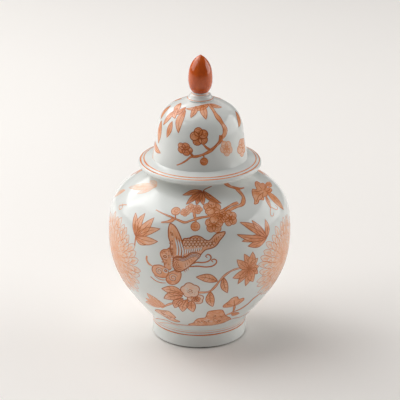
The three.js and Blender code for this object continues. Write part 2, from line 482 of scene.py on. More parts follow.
def curve(points, step=1.2, closed=False):
    """A smooth line through given points (Catmull-Rom), with a point about every step."""
    points = np.array(points, float)
    if len(points) == 2 and not closed:
        count = max(2, int(np.linalg.norm(points[1] - points[0]) / step) + 1)
        return points[0] + (points[1] - points[0]) * np.linspace(0, 1, count)[:, None]
    if closed:
        held = np.vstack([points[-1], points, points[:2]])
    else:
        held = np.vstack([2 * points[0] - points[1], points, 2 * points[-1] - points[-2]])
    line = []
    for a, b, c, d in zip(held, held[1:], held[2:], held[3:]):
        count = max(2, int(np.linalg.norm(c - b) / step))
        t = np.linspace(0, 1, count, endpoint=False)[:, None]
        line.append(0.5 * (2 * b + (c - a) * t + (2 * a - 5 * b + 4 * c - d) * t ** 2
                           + (3 * b - a - 3 * c + d) * t ** 3))
    if not closed:
        line.append(points[-1:])
    return np.vstack(line)


def within(points, outline):
    x, y = points[:, 0][:, None], points[:, 1][:, None]
    x0, y0 = outline[:, 0], outline[:, 1]
    x1, y1 = np.roll(x0, -1), np.roll(y0, -1)
    crosses = ((y0 > y) != (y1 > y)) & (x < (x1 - x0) * (y - y0) / np.where(y1 == y0, 1e-9, y1 - y0) + x0)
    return crosses.sum(1) % 2 == 1


def fill(outline):
    """Triangles over a flat closed outline, with points inside so that they follow a curved face."""
    spacing = 2.0
    low, high = outline.min(0), outline.max(0)
    columns, rows = (np.arange(a, b, spacing) for a, b in zip(low, high))
    grid = np.stack(np.meshgrid(columns, rows), -1).reshape(-1, 2) + spacing / 2
    if len(grid):
        grid = grid[within(grid, outline)]
    if len(grid):
        gap = np.linalg.norm(grid[:, None] - outline[None], axis=2).min(1)
        grid = grid[gap > 0.55 * spacing]
    points = np.vstack([outline, grid]) if len(grid) else outline
    ring = list(range(len(outline)))
    edges = [(i, (i + 1) % len(outline)) for i in ring]
    verts, _, faces, _, _, _ = delaunay_2d_cdt([Vector(p) for p in points.tolist()], edges, [ring], 1, 1e-5)
    return np.array([tuple(v) for v in verts]), faces


def strip(rows, count, closed=False):
    """Faces between rows of count points each."""
    return [(k + i, k + i + count, k + (i + 1) % count + count, k + (i + 1) % count)
            for k in range(0, (rows - 1) * count, count) for i in range(count if closed else count - 1)]


class Spot:
    """A place on a painted face: degrees round it and mm up it, with a turn, a mirror and a squeeze."""

    def __init__(self, surface, degrees, s, turn, flip, squeeze):
        self.surface = surface
        self.angle = math.radians(degrees)
        self.s = s
        self.turn = math.radians(turn)
        self.flip = flip
        self.squeeze = squeeze

    def lay(self, points):
        points = np.array(points, float)
        x, y = points[:, 0] * self.squeeze, points[:, 1]
        across = (x * math.cos(self.turn) - y * math.sin(self.turn)) * self.flip
        up = x * math.sin(self.turn) + y * math.cos(self.turn)
        return pairs(self.angle + across / self.surface.radius(self.s), self.s + up)


class Run:
    """The way from one place to another on a face; lays points given as mm across it and mm along it."""

    def __init__(self, surface, start, end, flip):
        reach = surface.radius((start[1] + end[1]) / 2)
        self.surface = surface
        self.start = start
        self.gap = end - start
        self.length = math.hypot(self.gap[0] * reach, self.gap[1])
        self.way = self.gap * (reach, 1) / self.length
        self.flip = flip

    def lay(self, points):
        points = np.array(points, float)
        across = points[:, 0] * self.flip
        laid = self.start + self.gap * points[:, 1:] / self.length
        laid[:, 0] += self.way[1] * across / self.surface.radius(laid[:, 1])
        laid[:, 1] -= self.way[0] * across
        return laid


ENAMEL_FOOT = -0.12     # how far the enamel's underside lies below the glaze, in mm
ENAMEL_LIFT = 0.04      # how far its lowest layer stands over the glaze
TOP_LAYER = 0.1         # the layers start again below this


class Painting:
    """Enamel shapes on one side of a turned face, which become one piece.

    Its points are (degrees from the middle of that side, mm up the outline). The mm count from a place
    that lies start below the outline's first point.
    """

    def __init__(self, surface, centre=0, flip=1, start=0):
        self.surface = surface
        self.centre = centre
        self.flip = flip
        self.start = start
        self.parts = []
        self.layer = 0

    def lay(self, points):
        points = np.array(points, float)
        return pairs(np.radians(self.centre + self.flip * points[:, 0]), points[:, 1] - self.start)

    def smooth(self, points, closed=False):
        """A smooth line through the points, worked out in mm."""
        points = np.array(points, float)
        spread = math.radians(self.surface.radius(points[:, 1].mean() - self.start))
        return self.lay(curve(points * (spread, 1), closed=closed) / (spread, 1))

    def spot(self, degrees, s, turn=0, squeeze=1.0):
        return Spot(self.surface, self.centre + self.flip * degrees, s - self.start, turn, self.flip, squeeze)

    def towards(self, start, end):
        return Run(self.surface, self.lay([start])[0], self.lay([end])[0], self.flip)

    def solid(self, spots, faces, lift, tones, along, across, brushed):
        grain = np.stack([along, across, np.full(len(spots), brushed)], 1)
        self.parts.append((spots, faces, ENAMEL_LIFT + self.layer + lift, tones, grain))

    def wash(self, spots, tone=(0.35, 0.35), grain=None, lift=0):
        """A filled shape; tone runs from its first outline point to the point farthest from it."""
        reach = self.surface.radius(spots[:, 1].mean())
        flat = spots * (reach, 1)
        verts, faces = fill(flat)
        if not len(faces):
            return
        far = flat[np.linalg.norm(flat - flat[0], axis=1).argmax()]
        way = (far - flat[0]) / max(np.linalg.norm(far - flat[0]), 1e-6)
        run = (verts - flat[0]) @ way
        t = np.clip(run / max(run.max(), 1e-6), 0, 1)
        if grain is not None:
            way = np.array([math.cos(grain), math.sin(grain)])
        self.solid(verts / (reach, 1), faces, lift, tone[0] + (tone[1] - tone[0]) * t, verts @ way,
                   verts @ np.array([-way[1], way[0]]), 1)

    def line(self, spots, width=0.6, tone=0.9, ends=(0.35, 0.35), lift=0.03):
        """A brush line; its width narrows to the given shares at its ends."""
        count = len(spots)
        if count < 2:
            return
        reach = self.surface.radius(spots[:, 1]).mean()
        flat = spots * (reach, 1)
        t = np.linspace(0, 1, count)
        opening = ends[0] + t * 4 * (1 - ends[0])
        closing = ends[1] + (1 - t) * 4 * (1 - ends[1])
        taper = np.minimum(1, np.minimum(opening, closing))
        side = normals(flat) * (width / 2 * taper)[:, None]
        both = np.vstack([flat + side, flat - side]) / (reach, 1)
        length = np.concatenate([[0], np.cumsum(np.linalg.norm(np.diff(flat, axis=0), axis=1))])
        self.solid(both, strip(2, count), lift, np.full(2 * count, tone), np.tile(length, 2),
                   np.repeat([width / 2, -width / 2], count), 0)

    def ring(self, spots, **look):
        self.line(np.vstack([spots, spots[:2]]), ends=(1, 1), **look)

    def shape(self, spots, tone=(0.35, 0.35), width=0.55, edge=0.85, grain=None):
        """A wash with a closed outline round it."""
        self.wash(spots, tone, grain)
        self.ring(spots, width=width, tone=edge)

    def rise(self, step=0.02):
        self.layer = (self.layer + step) % TOP_LAYER

    def make(self, name, body):
        verts, outward, faces, tones, grains = [], [], [], [], []
        base = 0
        for spots, tops, lift, tone, grain in self.parts:
            count = len(spots)
            for height in (lift, ENAMEL_FOOT):
                points, out = self.surface.place(spots, height)
                verts.append(points)
                outward.append(out)
                tones.append(tone)
                grains.append(grain)
            sides = {(a, b) for face in tops for a, b in zip(face, (*face[1:], face[0]))}
            for face in tops:
                faces.append([base + v for v in face])
                faces.append([base + count + v for v in reversed(face)])
            for a, b in sorted(sides):
                if (b, a) not in sides:
                    faces.append([base + b, base + a, base + count + a, base + count + b])
            base += 2 * count
        mesh = mesh_piece(name, np.vstack(verts).tolist(), faces, IRON_RED, body).data
        tone = mesh.attributes.new("tone", "FLOAT", "POINT").data
        tone.foreach_set("value", np.concatenate(tones))
        grain = mesh.attributes.new("grain", "FLOAT_VECTOR", "POINT").data
        grain.foreach_set("vector", np.vstack(grains).ravel())
        mesh.shade_smooth()
        mesh.normals_split_custom_set_from_vertices(np.vstack(outward).tolist())


BODY = Surface(join([(FOOT_R, 0)], WAIST, BELLY_BOWL, SHOULDER, NECK_SWEEP))
DOME = Surface(join(DOME_SIDE, DOME_CROWN))
BRIM = Surface(join(BRIM_EDGE, BRIM_FACE))
SKIRT = Surface(COLLAR_SIDE)


# ------------------------------------------------------------------ motifs
def arc(centre, across, up, turns):
    """The points of an ellipse at the given angles."""
    return pairs(centre[0] + across * np.cos(turns), centre[1] + up * np.sin(turns))


def polar(radius, turns):
    return pairs(radius * np.cos(turns), radius * np.sin(turns))


def disc(radius, squash=1.0, count=18, centre=(0, 0)):
    return arc(centre, radius, radius * squash, np.linspace(0, 2 * math.pi, count, endpoint=False))


def dot(paint, degrees, s, tone, radius=0.5):
    paint.ring(paint.spot(degrees, s).lay(disc(radius, count=6)), width=0.4, tone=tone)


def leaf(paint, base, tip, width, sway=0.06, tone=(0.62, 0.42), veins=3, edge=0.85, line=0.5):
    """A pointed leaf from base to tip with a midrib and side veins."""
    spot = paint.towards(base, tip)
    length = spot.length
    t = np.linspace(0, 1, max(11, int(length / 1.1)))
    spine = pairs(sway * length * np.sin(math.pi * t), length * t)
    half = width * 0.53 * np.sin(math.pi * t ** 0.9) ** 0.95
    half[-1] = 0
    left, right = spine - pairs(half, 0 * t), spine + pairs(half, 0 * t)
    paint.shape(spot.lay(np.vstack([left, right[-2:0:-1]])), tone, width=line, edge=edge)
    paint.line(spot.lay(spine[: int(len(t) * 0.85)]), width=line * 0.9, tone=edge, ends=(1, 0.2))
    for k in range(veins):
        at = int(len(t) * (0.2 + 0.17 * k))
        for side in (-1, 1):
            end = spine[at] + (side * half[at] * 0.8, length * 0.12)
            paint.line(spot.lay(curve([spine[at], end], 0.9)), width=line * 0.65, tone=edge - 0.1, lift=0.02)


def leaves(paint, rows, **look):
    """Single leaves, each given as its base, tip and width; a later one lies over an earlier one."""
    for base, tip, width in rows:
        leaf(paint, base, tip, width, **look)
        paint.rise()


def spray(paint, base, tips, width, **look):
    """Leaves fanning out from one point, as bamboo is painted."""
    for k, tip in enumerate(tips):
        leaf(paint, base, tip, width * (0.88 + 0.12 * ((k * 7) % 3)), sway=0.05 * (-1) ** k, **look)
        paint.rise()


def stem(paint, points, width=0.9, tone=0.8, ends=(1, 0.4)):
    paint.line(paint.smooth(points), width=width, tone=tone, ends=ends)


def figure(paint, outline, tone=(0.6, 0.5), **look):
    """A painted shape whose outline is given in the painting's own degrees and mm."""
    paint.shape(paint.smooth(outline, closed=True), tone, **look)


def branch(paint, points, widths, tone=(0.6, 0.6)):
    """A woody stem: a wash with dark edges, narrowing from widths[0] to widths[1], with small knots."""
    route = paint.smooth(points)
    reach = paint.surface.radius(route[:, 1]).mean()
    flat = route * (reach, 1)
    count = len(flat)
    t = np.linspace(0, 1, count)
    knots = 1 + 0.2 * np.sin(t * count * 0.6) * (t < 0.85)
    half = (widths[0] + (widths[1] - widths[0]) * t) / 2 * knots
    side = normals(flat) * half[:, None]
    rows = np.linspace(1, -1, 5)
    laid = np.vstack([flat + side * row for row in rows]) / (reach, 1)
    tones = np.tile(tone[0] + (tone[1] - tone[0]) * t, 5)
    across = np.concatenate([half * row for row in rows])
    paint.solid(laid, strip(5, count), 0, tones, np.tile(t * count, 5), across, 1)
    for edge in (0.85, -0.85):
        paint.line((flat + side * edge) / (reach, 1), width=0.55, tone=0.9)
    paint.rise()


def berry(paint, spot, radius, tone=(0.5, 0.65)):
    paint.shape(spot.lay(disc(radius)), tone)
    eye = disc(radius * 0.42, count=10, centre=(radius * 0.1, radius * 0.1))
    paint.ring(spot.lay(eye), width=0.45, tone=0.75)
    paint.rise()


def blossom(paint, spot, radius, tone=(0.5, 0.35), heart=0.75, edge=0.85, line=0.6):
    """A round-petalled plum blossom: curled petals, stamens and a dark heart."""
    for k in range(5):
        middle = 2 * math.pi * k / 5 + 0.3
        way = polar(1, np.array([middle]))
        lobe = disc(radius * 0.5, count=16) + way * radius * 0.55
        paint.shape(spot.lay(lobe), tone, width=line, edge=edge, grain=middle)
        curl = way * radius * 0.6 + polar(1, middle + np.linspace(-2.4, 0.6, 8)) * radius * 0.25
        paint.line(spot.lay(curl), width=line * 0.7, tone=edge - 0.1, lift=0.02)
        paint.rise(0.01)
        for swing in (-0.35, 0.0, 0.35):
            ray = np.outer([0.24, 0.55], [math.cos(middle + swing), math.sin(middle + swing)]) * radius
            paint.line(spot.lay(curve(ray, 1.0)), width=line * 0.55, tone=edge, lift=0.04)
            paint.ring(spot.lay(disc(0.22, count=6, centre=ray[1])), width=0.4, tone=edge + 0.1, lift=0.04)
    paint.shape(spot.lay(disc(radius * 0.24, count=10)), (heart, heart), edge=min(1, heart + 0.2))
    paint.rise(0.01)


def petal(length, width, crook):
    """A strap petal from (0, 0) outwards along +y with a rounded tip that leans to one side."""
    t = np.linspace(0, 1, 11)
    half = width * 0.5 * np.sin(math.pi * (0.12 + 0.875 * t) ** 1.5) ** 0.7
    lean = crook * length * t * t
    return np.vstack([pairs(lean - half, length * t), pairs(lean + half, length * t)[::-1]])


def chrysanthemum(paint, degrees, s, radius, seed):
    """A large open flower; each ring of strap petals lies over the one outside it, round a solid heart."""
    chance = random.Random(seed)
    rings = [(0.60, 0.44, 30, (0.30, 0.0), 0.68, 0.45), (0.44, 0.42, 27, (0.34, 0.02), 0.66, 0.45),
             (0.30, 0.36, 22, (0.38, 0.12), 0.62, 0.4), (0.20, 0.28, 17, (0.40, 0.26), 0.56, 0.32),
             (0.10, 0.22, 12, (0.42, 0.36), 0.55, 0.3)]
    for start, length, count, tone, edge, line in rings:
        for k in range(count):
            way = 360 * (k + chance.uniform(-0.16, 0.16)) / count + start * 200
            down = 0.5 - 0.5 * math.cos(math.radians(way))
            reach = length * radius * chance.uniform(0.82, 1.06) * (0.95 + 0.14 * down)
            wide = 2 * math.pi * (start + length * 0.55) * radius / count * chance.uniform(0.86, 1.04)
            spot = paint.spot(degrees, s, turn=way)
            lean = chance.uniform(-0.16, 0.16) + 0.12 * math.sin(math.radians(way))
            outline = petal(reach, wide, lean) + (0, start * radius)
            paint.shape(spot.lay(outline), tone, width=line, edge=edge)
            if tone[1] < 0.3:
                dab = petal(reach * 0.72, wide * 0.42, lean * 0.8) + (0, start * radius + reach * 0.06)
                paint.wash(spot.lay(dab), (0.46, 0.30), lift=0.012)
        paint.layer += 0.022
    heart = paint.spot(degrees, s)
    paint.wash(heart.lay(disc(radius * 0.2, count=24)), (0.40, 0.46))
    for k in range(46):
        way, out = k * 2.39996, radius * 0.19 * math.sqrt((k + 0.5) / 46)
        floret = disc(0.4, count=6, centre=(out * math.cos(way), out * math.sin(way)))
        paint.ring(heart.lay(floret), width=0.45, tone=0.62, lift=0.02)


def rock(paint, outline, seed, tone=(0.5, 0.66)):
    """A garden rock: a wash with slanting contour strokes."""
    chance = random.Random(seed)
    points = paint.smooth(outline, closed=True)
    paint.shape(points, tone, width=0.8, edge=0.9, grain=2.3)
    middle = points.mean(0)
    for _ in range(44):
        start = middle + (points[chance.randrange(len(points))] - middle) * chance.uniform(0.1, 0.82)
        reach = paint.surface.radius(start[1])
        length = chance.uniform(1.5, 4.5)
        way = chance.uniform(2.0, 2.6)
        end = start + np.array([paint.flip * length * math.cos(way) / reach, length * math.sin(way)])
        stroke = np.array([start, (start + end) / 2 + (0.3 / reach, 0), end])
        inner = middle + (stroke - middle) * 0.92
        inner = curve(inner * (reach, 1), 0.8) / (reach, 1)
        paint.line(inner, width=0.65, tone=chance.choice((0.2, 0.9, 1.0)), lift=0.02)
    paint.rise()


def bands(paint, lines, wobble):
    """Lines painted round a piece on the wheel, each given as (mm up, width, tone), a little uneven."""
    for s, width, tone in lines:
        band(paint, s, width, tone, wobble)


def band(paint, s, width, tone, wobble):
    turn = np.linspace(0, 2 * math.pi, 240, endpoint=False)
    s = s + wobble * np.sin(2 * turn + s) + wobble * 0.4 * np.sin(5 * turn)
    half = width / 2 * (1 + 0.14 * np.sin(7 * turn + s) + 0.1 * np.sin(3 * turn))
    count = len(turn)
    rows = np.linspace(1, -1, 5)
    laid = np.vstack([pairs(turn, s + half * row) for row in rows])
    reach = paint.surface.radius(s.mean())
    paint.solid(laid, strip(5, count, closed=True), 0.01, np.full(5 * count, tone), np.tile(turn * reach, 5),
                np.repeat(rows * width / 2, count), 0.6)


# ------------------------------------------------------------------ the butterfly
def wings(paint):
    """The hind wing, the two lobes of the fore wing, the curled pair at the head and the near wing."""
    figure(paint, [(-10, 128), (-7.1, 128.6), (-4.4, 130.6), (-1.7, 131.2), (1, 130.2), (3.3, 128),
            (5.6, 127), (7.6, 128.8), (9.2, 131.2), (11.6, 133), (16.4, 133.6), (15.4, 130.6), (12.9, 127.2),
            (11, 123.6), (8.8, 121.2), (5.6, 120), (3.3, 119), (1, 115.5), (-0.6, 112.5), (-5, 113),
            (-10, 113.5), (-11.4, 120)], (0.42, 0.5), width=0.85, edge=1.0)
    paint.rise()
    figure(paint, [(-19.9, 139.6), (-17.1, 138.8), (-14.9, 136.1), (-13, 132.4), (-11.2, 127.4), (-10.4, 123),
            (-10.3, 118.6), (-10.8, 113), (-15.5, 110.5), (-17.6, 115), (-18.4, 119.3), (-18, 123),
            (-19.4, 127.4), (-20.1, 131.7), (-20.4, 136)], (0.5, 0.6), width=0.85, edge=0.98)
    figure(paint, [(-18, 119.3), (-20.2, 117.6), (-22.6, 116.9), (-24.5, 114.2), (-24.4, 111), (-23, 107.6),
            (-22, 104.6), (-21.5, 101.2), (-18.6, 99.4), (-16.6, 103), (-16, 110)], (0.55, 0.5), width=0.8,
            edge=0.85)
    paint.rise()
    figure(paint, [(-29.9, 99.8), (-27.6, 101.6), (-24.6, 102.4), (-21.6, 101.2), (-19.4, 98.6),
            (-19.4, 94.6), (-21.5, 91.6), (-25, 90.8), (-28.4, 92.2), (-30.4, 95.6)], (0.45, 0.62), width=0.8,
            edge=0.85)
    figure(paint, [(-11.6, 98.4), (-11.4, 94), (-13, 88.8), (-15.8, 85.8), (-19, 85.6), (-21, 88.6),
            (-20.6, 93), (-18.6, 96.8), (-15, 99.4)], (0.5, 0.62), width=0.8, edge=0.88)
    paint.rise()
    figure(paint, [(-15.4, 111.2), (-12.6, 112.6), (-9.9, 112.2), (-7.1, 114.4), (-5.3, 116.4), (-2.6, 117),
            (0.7, 115), (-0.3, 112.6), (-2.1, 109.8), (-4.4, 106.6), (-6.2, 104.2), (-8.5, 101.6),
            (-10.8, 99.6), (-14, 98.4), (-15.8, 102), (-16.3, 107)], (0.55, 0.4), width=0.85, edge=1.0)


def wing_lines(paint):
    """Dark ribs and the pale strokes between them; a tone below 0 stays white under the mottling."""
    ridge = np.array([(-12.6, 111.6), (-9.8, 111.2), (-7, 113.2), (-5, 115.2), (-2.4, 115.8)])
    for shift in (0, 1.3, 2.4):
        stem(paint, [(-15.2 + shift * 0.7, 110.6 - shift), *(ridge - (0, shift)), (0, 114 - shift)],
             0.8 - shift * 0.1, 0.98, ends=(1, 0.6))
    for shift in (0.65, 1.85):
        stem(paint, [*(ridge - (0, shift)), (-0.6, 114.6 - shift)], 0.5, 0.05, ends=(0.6, 0.6))
    bow = np.linspace(1.9, 5.3, 9)
    for size in (5.6, 4.1, 2.6, 1.1):
        stem(paint, arc((-12.2, 105), size * 0.73, size, bow), 0.6, 0.92, ends=(0.6, 0.6))
    for k in range(6):
        stem(paint, [(-8.4 + 1.25 * k, 103.6 + 2.1 * k), (-8.8 + 1.05 * k, 107.4 + 1.5 * k)], 0.5, 0.9)
    for k in range(3):
        x = -15 + 1.75 * k
        stem(paint, [(x - 0.5, 128.4 - k), (x + 0.9, 123 - k), (x + 1.5, 118), (x + 1.2, 113.6)], 1.3, -0.4,
             ends=(0.3, 0.8))
        stem(paint, [(x + 0.3, 129.6 - k), (x + 1.7, 123 - k), (x + 2.2, 117), (x + 1.9, 113.6)], 0.5, 0.95)
    for k in range(8):
        x = -8.8 + 1.35 * k
        stem(paint, [(x, 115.4 + 0.5 * k), (x + 0.5, 119.5 + 0.25 * k)], 0.95, -0.4, ends=(0.5, 1))
        stem(paint, [(x + 0.65, 115.4 + 0.5 * k), (x + 1.1, 119.5 + 0.25 * k)], 0.4, 0.95)
    for k in range(7):
        stem(paint, [(-17.6 + 0.1 * (k % 2), 110.4 - 1.7 * k), (-16.4, 109.8 - 1.7 * k)], 0.9, -0.4)


def wing_scales(paint):
    """Rows of scales on the hind wing, dots on the fore wing, and the eyes and coils near the head."""
    over = np.linspace(-0.3, math.pi + 0.3, 7)
    for row, count in enumerate((9, 9, 7, 4)):
        for k in range(count):
            x = -9.4 + 2.15 * k + 1.07 * (row % 2) + 1.4 * (row > 2)
            y = 121.6 + 2.15 * row + 0.12 * k
            stem(paint, arc((x, y), 0.98, 1.25, over), 0.45, 0.98, ends=(0.8, 0.8))
            dot(paint, x, y + 0.1, 0.1, 0.3)
    for k in range(5):
        stem(paint, [(7.4 + 1.5 * k, 124 + 1.6 * k), (8 + 1.3 * k, 127.6 + 1.0 * k)], 0.5, 0.98)
    chance = random.Random(11)
    for _ in range(26):
        x, y = chance.uniform(-19.2, -15.8), chance.uniform(112, 134)
        dot(paint, x, y, chance.choice((0.95, 0.25)))
    for _ in range(18):
        dot(paint, chance.uniform(-23.4, -19), chance.uniform(104, 115.5), 0.85)
    for x, y, size, tone in ((-21, 98.2, 2.0, -0.4), (-21, 98.2, 1.1, 1.0), (-21.4, 111, 2.2, 0.3),
                             (-21.4, 111, 1.2, 0.95)):
        paint.ring(paint.spot(x, y).lay(disc(size, 0.9, count=16)), width=0.6, tone=tone, lift=0.04)
    turns = np.linspace(0.4, 10.6, 22)
    for x, y, size in ((-16.4, 92.3, 4.4), (-25.4, 96.4, 3.8)):
        for shift, tone in ((0, 0.98), (0.55, 0.1)):
            coil = size * (1 - turns / 13) - shift
            stem(paint, arc((x, y), 0.75 * coil, coil, turns), 0.5, tone, ends=(0.5, 0.5))


def butterfly(paint):
    """A butterfly with curled tails, its head to the lower left."""
    wings(paint)
    wing_lines(paint)
    wing_scales(paint)
    stem(paint, [(-4.6, 106.6), (-1.7, 108.2), (1.9, 108), (5.1, 108.9), (6.9, 111.1), (6.8, 113.8),
            (5.1, 115.2), (3.7, 113.8), (4.8, 112.4)], 1.15, 0.88, ends=(1, 0.6))
    stem(paint, [(-6, 104.2), (-0.8, 104.7), (3.8, 104), (7.9, 104.6), (10.1, 106.8), (10.4, 109.3),
            (8.8, 110.9), (7.3, 109.6), (8.4, 108.2)], 1.15, 0.88, ends=(1, 0.6))
    stem(paint, [(-34, 108), (-34.4, 105), (-32.8, 101.4), (-29.8, 99.9)], 1.8, 0.6, ends=(1, 0.3))
    stem(paint, [(-29, 91.8), (-27.1, 89.6), (-24.4, 88.5), (-21, 89.2)], 0.7, 0.75)
    stem(paint, [(-32, 89.4), (-29, 86.6), (-25.3, 85.4), (-21.6, 86)], 0.8, 0.8)
    for k in range(3):
        stem(paint, [(-9.6 + 1.2 * k, 101.6 + k), (-8.6 + 1.1 * k, 98.6 + k)], 0.6, 0.75)


# ------------------------------------------------------------------ painting the body
def plum(paint):
    """A plum branch on the shoulder, its blossoms, and a bamboo spray hanging from the neck."""
    branch(paint, [(31, 181), (36, 175), (40.5, 172), (41.6, 167), (41.4, 162), (38.6, 157.6), (35, 154.6),
            (28, 153.6), (21, 151)], (4.2, 2.6), (0.75, 0.5))
    branch(paint, [(38, 173.6), (44, 170.6), (50.5, 169.4)], (3.2, 0.8), (0.8, 0.7))
    branch(paint, [(33, 157.5), (27, 156.6), (22, 154.6), (15, 151)], (2.6, 1.8))
    branch(paint, [(24, 151), (12, 149), (5, 147.6), (0, 146.6), (-6, 144), (-10, 142), (-15, 143.6),
            (-20, 145.4), (-26, 147), (-34, 149.2)], (2.6, 0.7), (0.65, 0.4))
    branch(paint, [(-18, 144.6), (-20.4, 141.6), (-26.4, 139.4)], (3.4, 0.8), (0.6, 0.45))
    branch(paint, [(-4.4, 152), (-3.4, 147), (-2.4, 142)], (2.2, 1.4))
    stem(paint, [(-17, 145), (-18, 149)], 1.0)
    for degrees, s, size, squeeze, tone in ((15.5, 147.6, 6.2, 1, 0.5), (10, 155.6, 7.2, 1, 0.55),
                                            (21.5, 144.6, 6.9, 0.85, 0.5), (9.6, 140.6, 7.2, 1, 0.55)):
        blossom(paint, paint.spot(degrees, s, turn=degrees * 7, squeeze=squeeze), size,
                tone=(tone + 0.08, tone - 0.1))
    for degrees, s, size in ((-11, 151.3, 3.6), (-2, 154.6, 4.2), (-6.8, 155.6, 4.4)):
        blossom(paint, paint.spot(degrees, s, turn=degrees * 9), size, tone=(0.44, 0.36), heart=0.6,
                edge=0.72)
    berry(paint, paint.spot(-2.8, 139), 3.8)
    berry(paint, paint.spot(-18.2, 151.5), 3.8, tone=(0.44, 0.52))
    # The bamboo spray under the brim is painted darker than the other leaves: painted shade from the brim
    # above it.
    leaves(paint, [((2.4, 174), (-16.8, 168.4), 5), ((2.2, 173), (-11.4, 159), 5),
            ((2.6, 173), (-2.8, 158.8), 4.6), ((3.4, 173), (3, 158.8), 4.6), ((3.6, 174), (18.4, 159.6), 5)],
            tone=(0.88, 0.68), veins=0, edge=1.0)
    stem(paint, [(3, 173), (5.4, 175.4), (9.2, 177), (14.3, 178.4)], 0.8, 0.9)


def side_bamboo(paint):
    """Two bamboo sprays at the height of the butterfly, one on each side of it."""
    spray(paint, (-43.5, 122), [(-49, 141), (-41, 143.5), (-32.5, 142), (-26, 134), (-26.6, 123),
            (-35, 117.5)], 6.8, tone=(0.62, 0.42), veins=0, edge=0.9)
    stem(paint, [(-43.5, 122), (-44, 113)], 1.2)
    spray(paint, (46.5, 120.5), [(48, 136), (37, 139), (27.6, 139.6), (24, 130), (27, 123.4), (31, 118.2)],
            5.8, tone=(0.7, 0.55), veins=0, edge=0.95)


def open_peony(paint, spot, inner, rim):
    """A peony with a pale frilled rim round a blossom that reaches out to inner."""
    wave = np.linspace(0, 2 * math.pi, 50, endpoint=False)
    frill = polar(rim * (0.94 + 0.2 * np.abs(np.sin(2.5 * wave + 0.4))), wave)
    paint.shape(spot.lay(frill), (0.14, 0.3), width=0.75, edge=0.92)
    for k in range(14):
        angle = 2 * math.pi * k / 14
        ray = np.outer([inner / rim, 0.93], [math.cos(angle), math.sin(angle)]) * rim
        paint.line(spot.lay(curve(ray, 0.9)), width=0.35, tone=0.55, lift=0.02)
    paint.rise()
    blossom(paint, spot, inner, tone=(0.66, 0.46), heart=0.8, edge=0.9, line=0.45)


def peony(paint):
    """A flowering stem across the front with leaves, two open flowers and a bud."""
    branch(paint, [(-10, 66), (-15, 64.4), (-20, 62), (-25, 57.6), (-31, 51.4)], (2.4, 1.6), (0.6, 0.5))
    branch(paint, [(-1, 78.6), (6, 79.4), (9.4, 83.6), (12.6, 90), (16.4, 95.6), (21, 99), (27, 100)],
            (2.0, 1.5), (0.6, 0.35))
    leaves(paint, [((11.4, 90), (-2, 94.6), 7.2), ((15, 93), (18.6, 76.4), 5.8), ((7, 79.6), (9.8, 60), 6.8),
            ((-10, 76), (-25, 79), 9.4), ((-11, 74), (-25, 67.4), 8.6), ((-11, 71), (-18.6, 56), 7),
            ((-8, 70), (-13, 51.4), 7.4), ((-5, 69), (-4.6, 52), 7.2), ((-13, 70), (-15, 59), 5)], sway=0.07,
            tone=(0.66, 0.42), edge=0.95, line=0.65)
    spray(paint, (32.5, 97), [(28.4, 112), (23.4, 108), (34.6, 112), (38.6, 105), (39.6, 97), (21, 91.4),
            (25, 84.4), (31, 80.4), (36.6, 83), (39.4, 90)], 6.4, tone=(0.7, 0.5), edge=0.9)
    spray(paint, (-31, 53), [(-47, 52), (-43, 60), (-38.6, 68.4), (-34.4, 67), (-30, 63)], 8,
            tone=(0.55, 0.42), edge=0.7)
    open_peony(paint, paint.spot(-2.4, 70.8), 4.0, 6.2)
    open_peony(paint, paint.spot(-5.8, 80.6), 5.0, 7.2)
    figure(paint, [(27.4, 57), (23, 56.4), (18, 57.6), (18, 61), (20.6, 64.6), (23.2, 69), (26.6, 69.4),
            (28.6, 65.6), (32.4, 65.6), (33.4, 62.4), (30, 58)], (0.6, 0.5), width=0.7, edge=0.88)
    for tip in ((20.4, 61), (24.6, 66.4), (30.6, 63)):
        stem(paint, [(27, 57.4), tip], 0.7, 0.9)
    branch(paint, [(27.2, 57), (28.6, 50), (29, 44.6)], (1.8, 1.6))
    branch(paint, [(24, 43), (30, 46.4), (36, 48.6), (41, 54), (44, 60), (50, 64)], (2.4, 1.2))
    branch(paint, [(20, 38), (24, 43), (29, 44)], (2.2, 1.8))
    leaf(paint, (28.4, 44), (38.8, 39), 5, tone=(0.7, 0.6))


def ground(paint):
    """Two garden rocks on lines of rising ground."""
    rock(paint, [(-10.4, 28), (-5, 32.5), (-3.8, 36), (-0.5, 40.7), (4.8, 42), (6, 45.6), (7.2, 52.6),
            (12.7, 54), (17.4, 53.5), (20, 49), (22, 44.4), (24.6, 40.7), (29.3, 36.4), (31.6, 32.5),
            (28.6, 30.2), (24, 28), (10, 27)], 3)
    rock(paint, [(-41.6, 41.6), (-36.8, 46), (-30.2, 47.6), (-25.6, 48.4), (-23.4, 45.3), (-21.4, 39),
            (-24, 36), (-19, 32), (-24, 30.4), (-30, 32), (-36, 37)], 5, tone=(0.4, 0.55))
    stem(paint, [(-62, 19), (-48, 25), (-36, 28.4), (-26, 25.6), (-14, 26.4), (-2, 27.6), (14, 26.6)], 1.0)
    stem(paint, [(-55, 17), (-44, 20.6), (-32, 24), (-22, 22.6)], 0.7, tone=0.55)
    stem(paint, [(22, 28), (34, 32.4), (46, 30), (62, 31)], 0.9)


